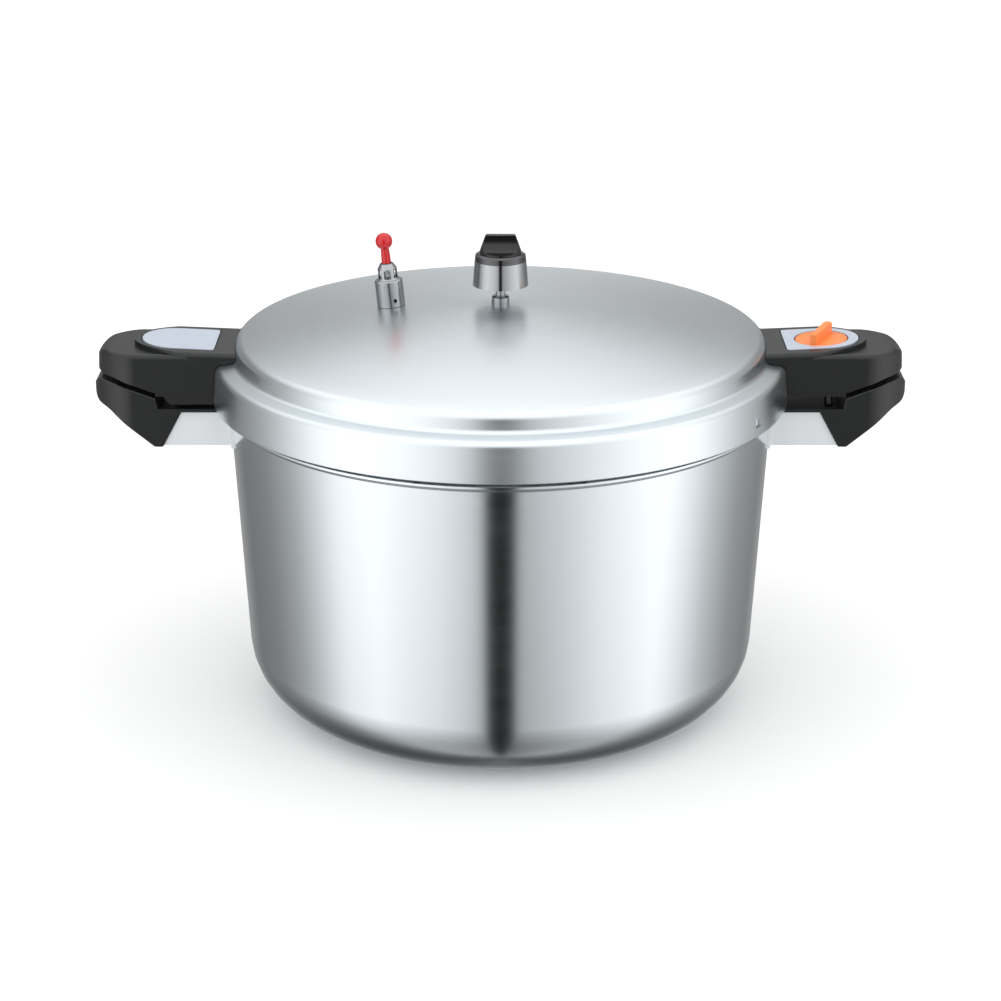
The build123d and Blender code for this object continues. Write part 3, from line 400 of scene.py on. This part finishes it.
def lid_cover():
    """Pressed lid: dome, wall, flange, skirt with its punched window, and inward lugs."""
    bm = bmesh.new()
    top = SEAM + SKIRT_HEIGHT
    rise = SEAM + DOME_EDGE
    slope = asin(DOME_R / DOME_SPHERE_R)

    def skirt_r(height):
        return SKIRT_R - SKIRT_TAPER * (height - SEAM) / SKIRT_HEIGHT

    near = DOME_R - DOME_RUN_IN
    near_z = DOME_TOP - DOME_SPHERE_R + sqrt(DOME_SPHERE_R**2 - near**2)
    outline(bm, [
        (skirt_r(SEAM) - LID_WALL / 2, SEAM, 0.0), (skirt_r(SEAM), SEAM, EDGE_R),
        (skirt_r(WINDOW_LOW), WINDOW_LOW, 0), (skirt_r(WINDOW_HIGH), WINDOW_HIGH, 0),
        (SKIRT_R - SKIRT_TAPER, top, 0.0030), (FLANGE_R, top + FLANGE_RISE, 0.0024),
        (DOME_R, rise, 0.0037), (near, near_z, 0),
    ])
    cap_arc(bm, DOME_SPHERE_R, near, DOME_TOP, DOME_STEPS)
    wall = LID_WALL
    inside_top = DOME_TOP - wall
    inside_sphere = DOME_SPHERE_R - wall
    inner = DOME_R - wall - 0.0003
    inner_z = inside_top - inside_sphere + sqrt(inside_sphere**2 - inner**2)
    outline(bm, [
        (skirt_r(SEAM) - wall / 2, SEAM, 0), (skirt_r(SEAM) - wall, SEAM, SHEET_EDGE_R),
        (skirt_r(WINDOW_LOW) - wall, WINDOW_LOW, 0), (skirt_r(WINDOW_HIGH) - wall, WINDOW_HIGH, 0),
        (SKIRT_R - SKIRT_TAPER - wall, top - wall * 0.9, 0.0017),
        (FLANGE_R - wall, top + FLANGE_RISE - wall * 0.9, 0.003), (inner, inner_z, 0.0024),
        (near, inside_top - inside_sphere + sqrt(inside_sphere**2 - near**2), 0),
    ])
    cap_arc(bm, inside_sphere, near, inside_top, DOME_STEPS)
    bmesh.ops.remove_doubles(bm, verts=bm.verts, dist=WELD)
    steps = round(2 * pi / (WINDOW_ANGLE / 2))
    spun(bm, steps, WINDOW_BEARING)
    for outer in (True, False):
        gone = [face for face in bm.faces if in_window(face, outer)]
        bmesh.ops.delete(bm, geom=gone, context="FACES")
    rims = [edge for edge in bm.edges if edge.is_boundary]
    bmesh.ops.bridge_loops(bm, edges=rims)
    lug_top = LUG_TOP - LUG_THICKNESS - LUG_GAP
    lugs(bm, LUG_R - LUG_OVERLAP, SKIRT_R - LID_WALL / 2, SEAM + LUG_GAP / 2, lug_top)
    bmesh.ops.remove_doubles(bm, verts=bm.verts, dist=WELD)
    bmesh.ops.recalc_face_normals(bm, faces=bm.faces)
    return piece("lid_cover", bm, lid_steel, "lid", "stainless", "lid_shell")


# ---------------------------------------------------------------- studio

def studio_sky():
    """Soft studio light: wide side banks, a broad one overhead, and plain white where the camera sees it."""
    world = bpy.data.worlds.new("studio")
    bpy.context.scene.world = world
    world.use_nodes = True
    tree = world.node_tree
    tree.nodes.clear()
    place = add(tree, "TexCoord").outputs["Generated"]
    split = add(tree, "SeparateXYZ")
    tree.links.new(place, split.inputs["Vector"])
    bearing = add(tree, "Math", operation="ARCTAN2")
    tree.links.new(split.outputs["Y"], bearing.inputs[0])
    tree.links.new(split.outputs["X"], bearing.inputs[1])
    turn = add(tree, "Math", operation="DIVIDE")
    turn.inputs[1].default_value = 2 * pi
    tree.links.new(bearing.outputs["Value"], turn.inputs[0])
    share = add(tree, "Math", operation="FRACT")
    tree.links.new(turn.outputs["Value"], share.inputs[0])
    banks = add(tree, "ValToRGB")
    ramp = banks.color_ramp
    while len(ramp.elements) < len(SIDE_BANKS):
        ramp.elements.new(0.5)
    for element, (angle, level) in zip(ramp.elements, SIDE_BANKS):
        element.position = angle / 360
        element.color = (level, level, level, 1)
    tree.links.new(share.outputs["Value"], banks.inputs["Fac"])
    below = add(tree, "MapRange", interpolation_type="SMOOTHSTEP")
    for key, value in (("From Min", -0.95), ("From Max", -0.35), ("To Min", 0.30), ("To Max", 1.0)):
        below.inputs[key].default_value = value
    tree.links.new(split.outputs["Z"], below.inputs["Value"])
    sides = add(tree, "MixRGB", blend_type="MULTIPLY")
    sides.inputs["Fac"].default_value = 1.0
    tree.links.new(banks.outputs["Color"], sides.inputs["Color1"])
    tree.links.new(below.outputs["Result"], sides.inputs["Color2"])
    above = add(tree, "MapRange", interpolation_type="SMOOTHSTEP")
    for key, value in (("From Min", 0.30), ("From Max", 0.80), ("To Min", 0.0), ("To Max", 1.0)):
        above.inputs[key].default_value = value
    tree.links.new(split.outputs["Z"], above.inputs["Value"])
    whole = add(tree, "MixRGB", blend_type="MIX")
    whole.inputs["Color2"].default_value = (OVERHEAD, OVERHEAD, OVERHEAD, 1)
    tree.links.new(above.outputs["Result"], whole.inputs["Fac"])
    tree.links.new(sides.outputs["Color"], whole.inputs["Color1"])
    path = add(tree, "LightPath")
    seen = add(tree, "MixRGB", blend_type="MIX")
    seen.inputs["Color2"].default_value = (1.0, 1.0, 1.0, 1)
    tree.links.new(path.outputs["Is Camera Ray"], seen.inputs["Fac"])
    tree.links.new(whole.outputs["Color"], seen.inputs["Color1"])
    light = add(tree, "Background")
    tree.links.new(seen.outputs["Color"], light.inputs["Color"])
    out = add(tree, "OutputWorld")
    tree.links.new(light.outputs["Background"], out.inputs["Surface"])


def studio_floor():
    """Wide pale floor that the pot stands on. Glossy metal sees the studio through it."""
    bm = bmesh.new()
    bmesh.ops.create_circle(bm, cap_ends=True, segments=96, radius=FLOOR_R)
    mesh = bpy.data.meshes.new("floor")
    bm.to_mesh(mesh)
    bm.free()
    floor = bpy.data.objects.new("floor", mesh)
    bpy.context.scene.collection.objects.link(floor)
    material = bpy.data.materials.new("pale_floor")
    material.use_nodes = True
    tree = material.node_tree
    tree.nodes.clear()
    pale = add(tree, "BsdfDiffuse")
    pale.inputs["Color"].default_value = (0.90, 0.90, 0.90, 1)
    clear = add(tree, "BsdfTransparent")
    path = add(tree, "LightPath")
    mix = add(tree, "MixShader")
    tree.links.new(path.outputs["Is Glossy Ray"], mix.inputs["Fac"])
    tree.links.new(pale.outputs["BSDF"], mix.inputs[1])
    tree.links.new(clear.outputs["BSDF"], mix.inputs[2])
    out = add(tree, "OutputMaterial")
    tree.links.new(mix.outputs["Shader"], out.inputs["Surface"])
    mesh.materials.append(material)


def studio_camera():
    """Camera in front, a little above the lid, looking down at the pot's middle."""
    height = CAMERA_HEIGHT
    aim = Vector((0, 0, CAMERA_AIM))
    data = bpy.data.cameras.new("camera")
    data.lens = CAMERA_LENS
    data.sensor_width = 36
    camera = bpy.data.objects.new("camera", data)
    camera.location = aim + CAMERA_DISTANCE * Vector((0, -cos(height), sin(height)))
    camera.rotation_euler = (pi / 2 - height, 0, 0)
    bpy.context.scene.collection.objects.link(camera)
    bpy.context.scene.camera = camera


bpy.context.scene.view_settings.view_transform = "Standard"
studio_sky()
studio_floor()
studio_camera()
finish_nodes()
pot_shell()
lid_cover()
